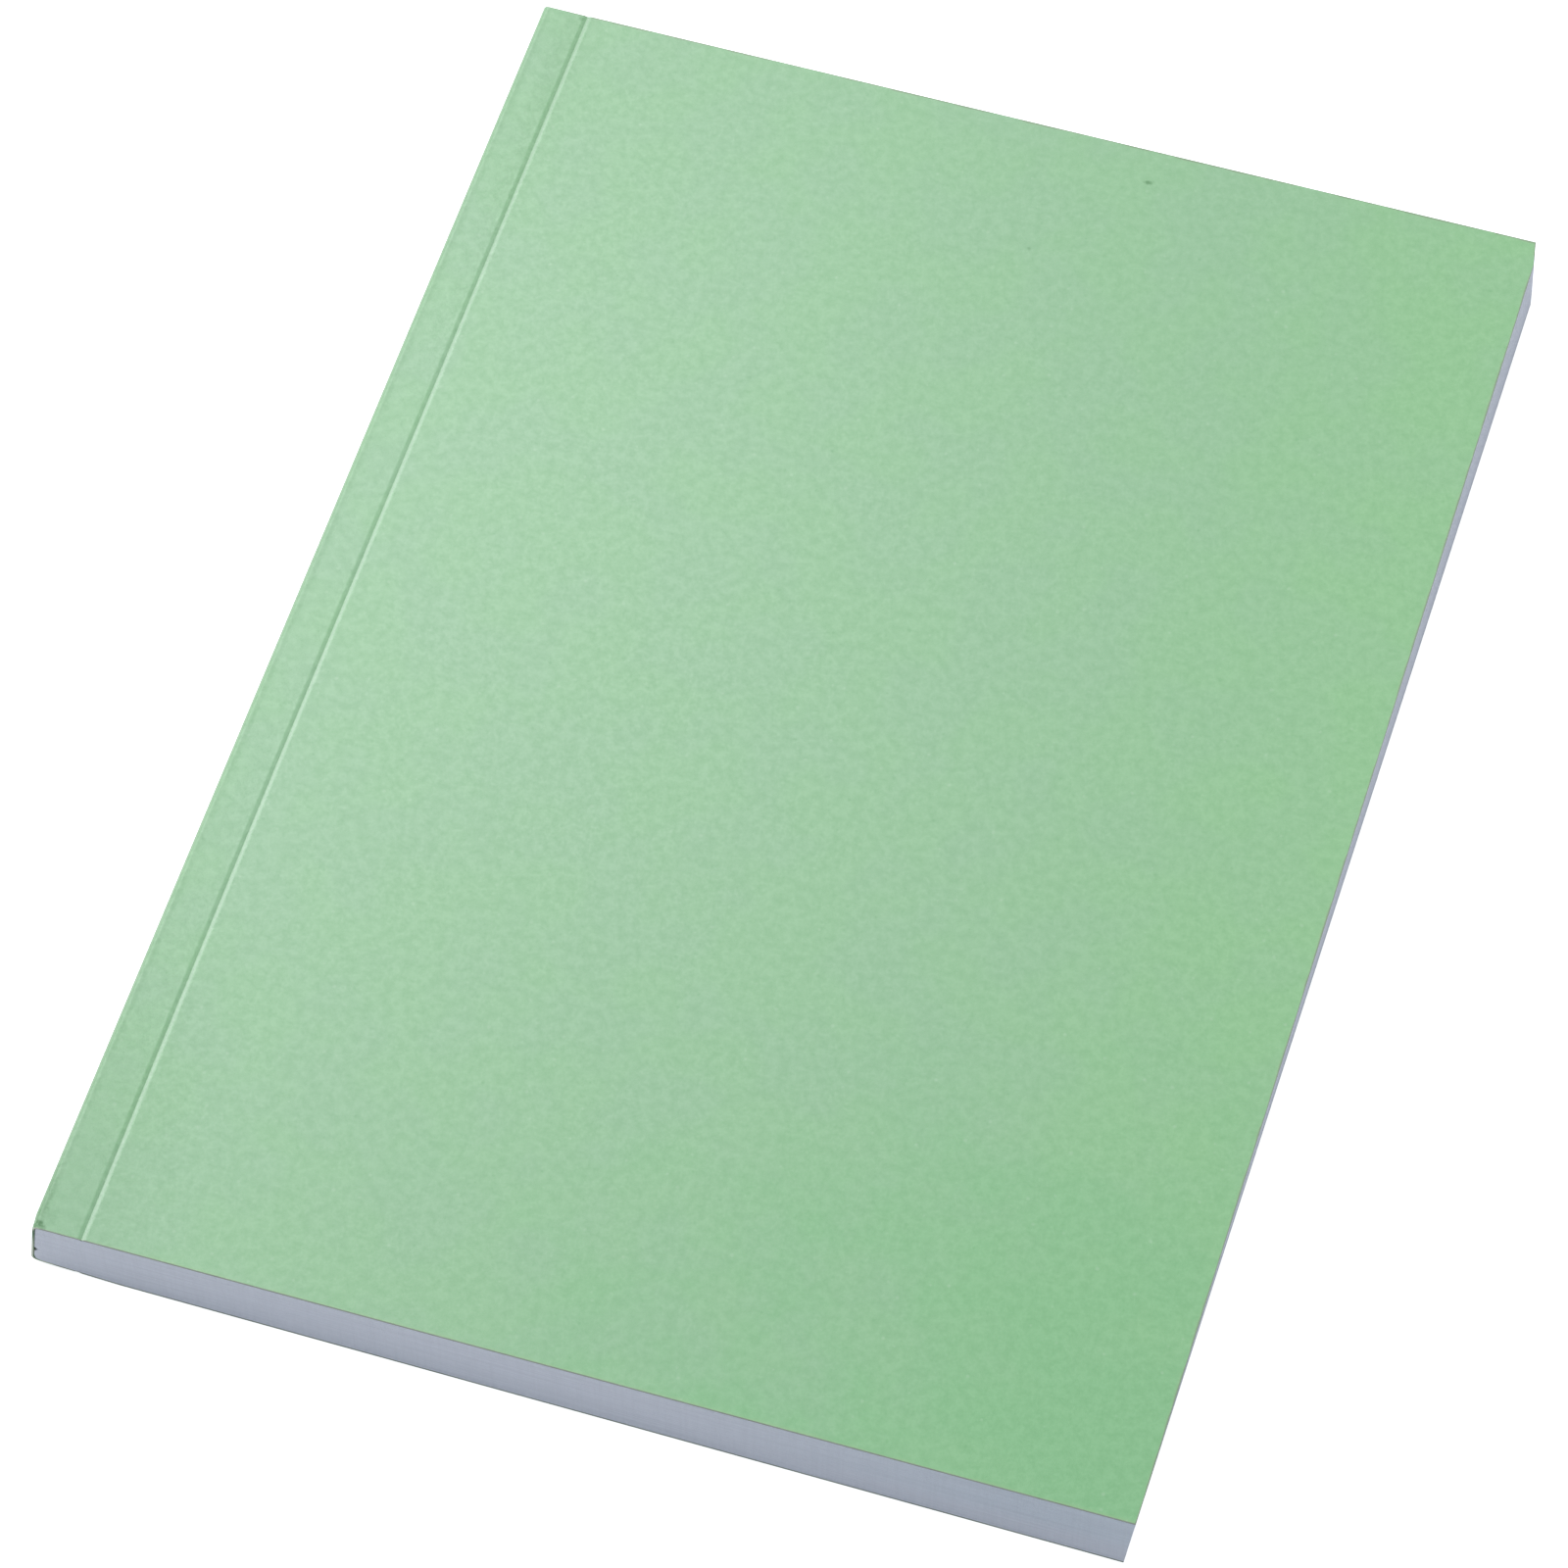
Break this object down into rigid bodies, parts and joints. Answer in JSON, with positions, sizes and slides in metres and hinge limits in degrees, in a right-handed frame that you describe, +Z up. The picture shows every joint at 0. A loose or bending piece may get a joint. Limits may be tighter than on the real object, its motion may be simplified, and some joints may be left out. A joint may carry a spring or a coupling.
{
  "type": "softcover notebook",
  "caption": "Softcover notebook: trimmed leaves glued at the spine into one folded card, with front and back covers that open on pressed hinge scores.",
  "frame": {"origin": "middle of the back cover's underside, on the surface the closed notebook lies on", "axes": "+X from the spine to the fore-edge, +Y from the tail to the head, +Z up, out of the front cover"},
  "size_m": [0.1462, 0.2108, 0.0099],
  "materials": {
    "cover_card": "satin",
    "leaf_paper": "matte",
    "spine_adhesive": "matte"
  },
  "bodies": {
    "book_block": {"page_block": "leaf_paper", "spine_glue": "spine_adhesive", "spine_wrap": "cover_card"},
    "front_panel": {"front_cover": "cover_card"},
    "back_panel": {"back_cover": "cover_card"}
  },
  "joints": [
    {"name": "front_cover_hinge", "type": "hinge", "parent": "book_block", "child": "front_panel", "pos_m": [-0.06585, 0, 0.0099], "axis": [0, -1, 0], "range_deg": [0, 175]},
    {"name": "back_cover_hinge", "type": "hinge", "parent": "book_block", "child": "back_panel", "pos_m": [-0.06625, 0.0004, 0], "axis": [0.0061, 1, 0], "range_deg": [0, 175]}
  ]
}
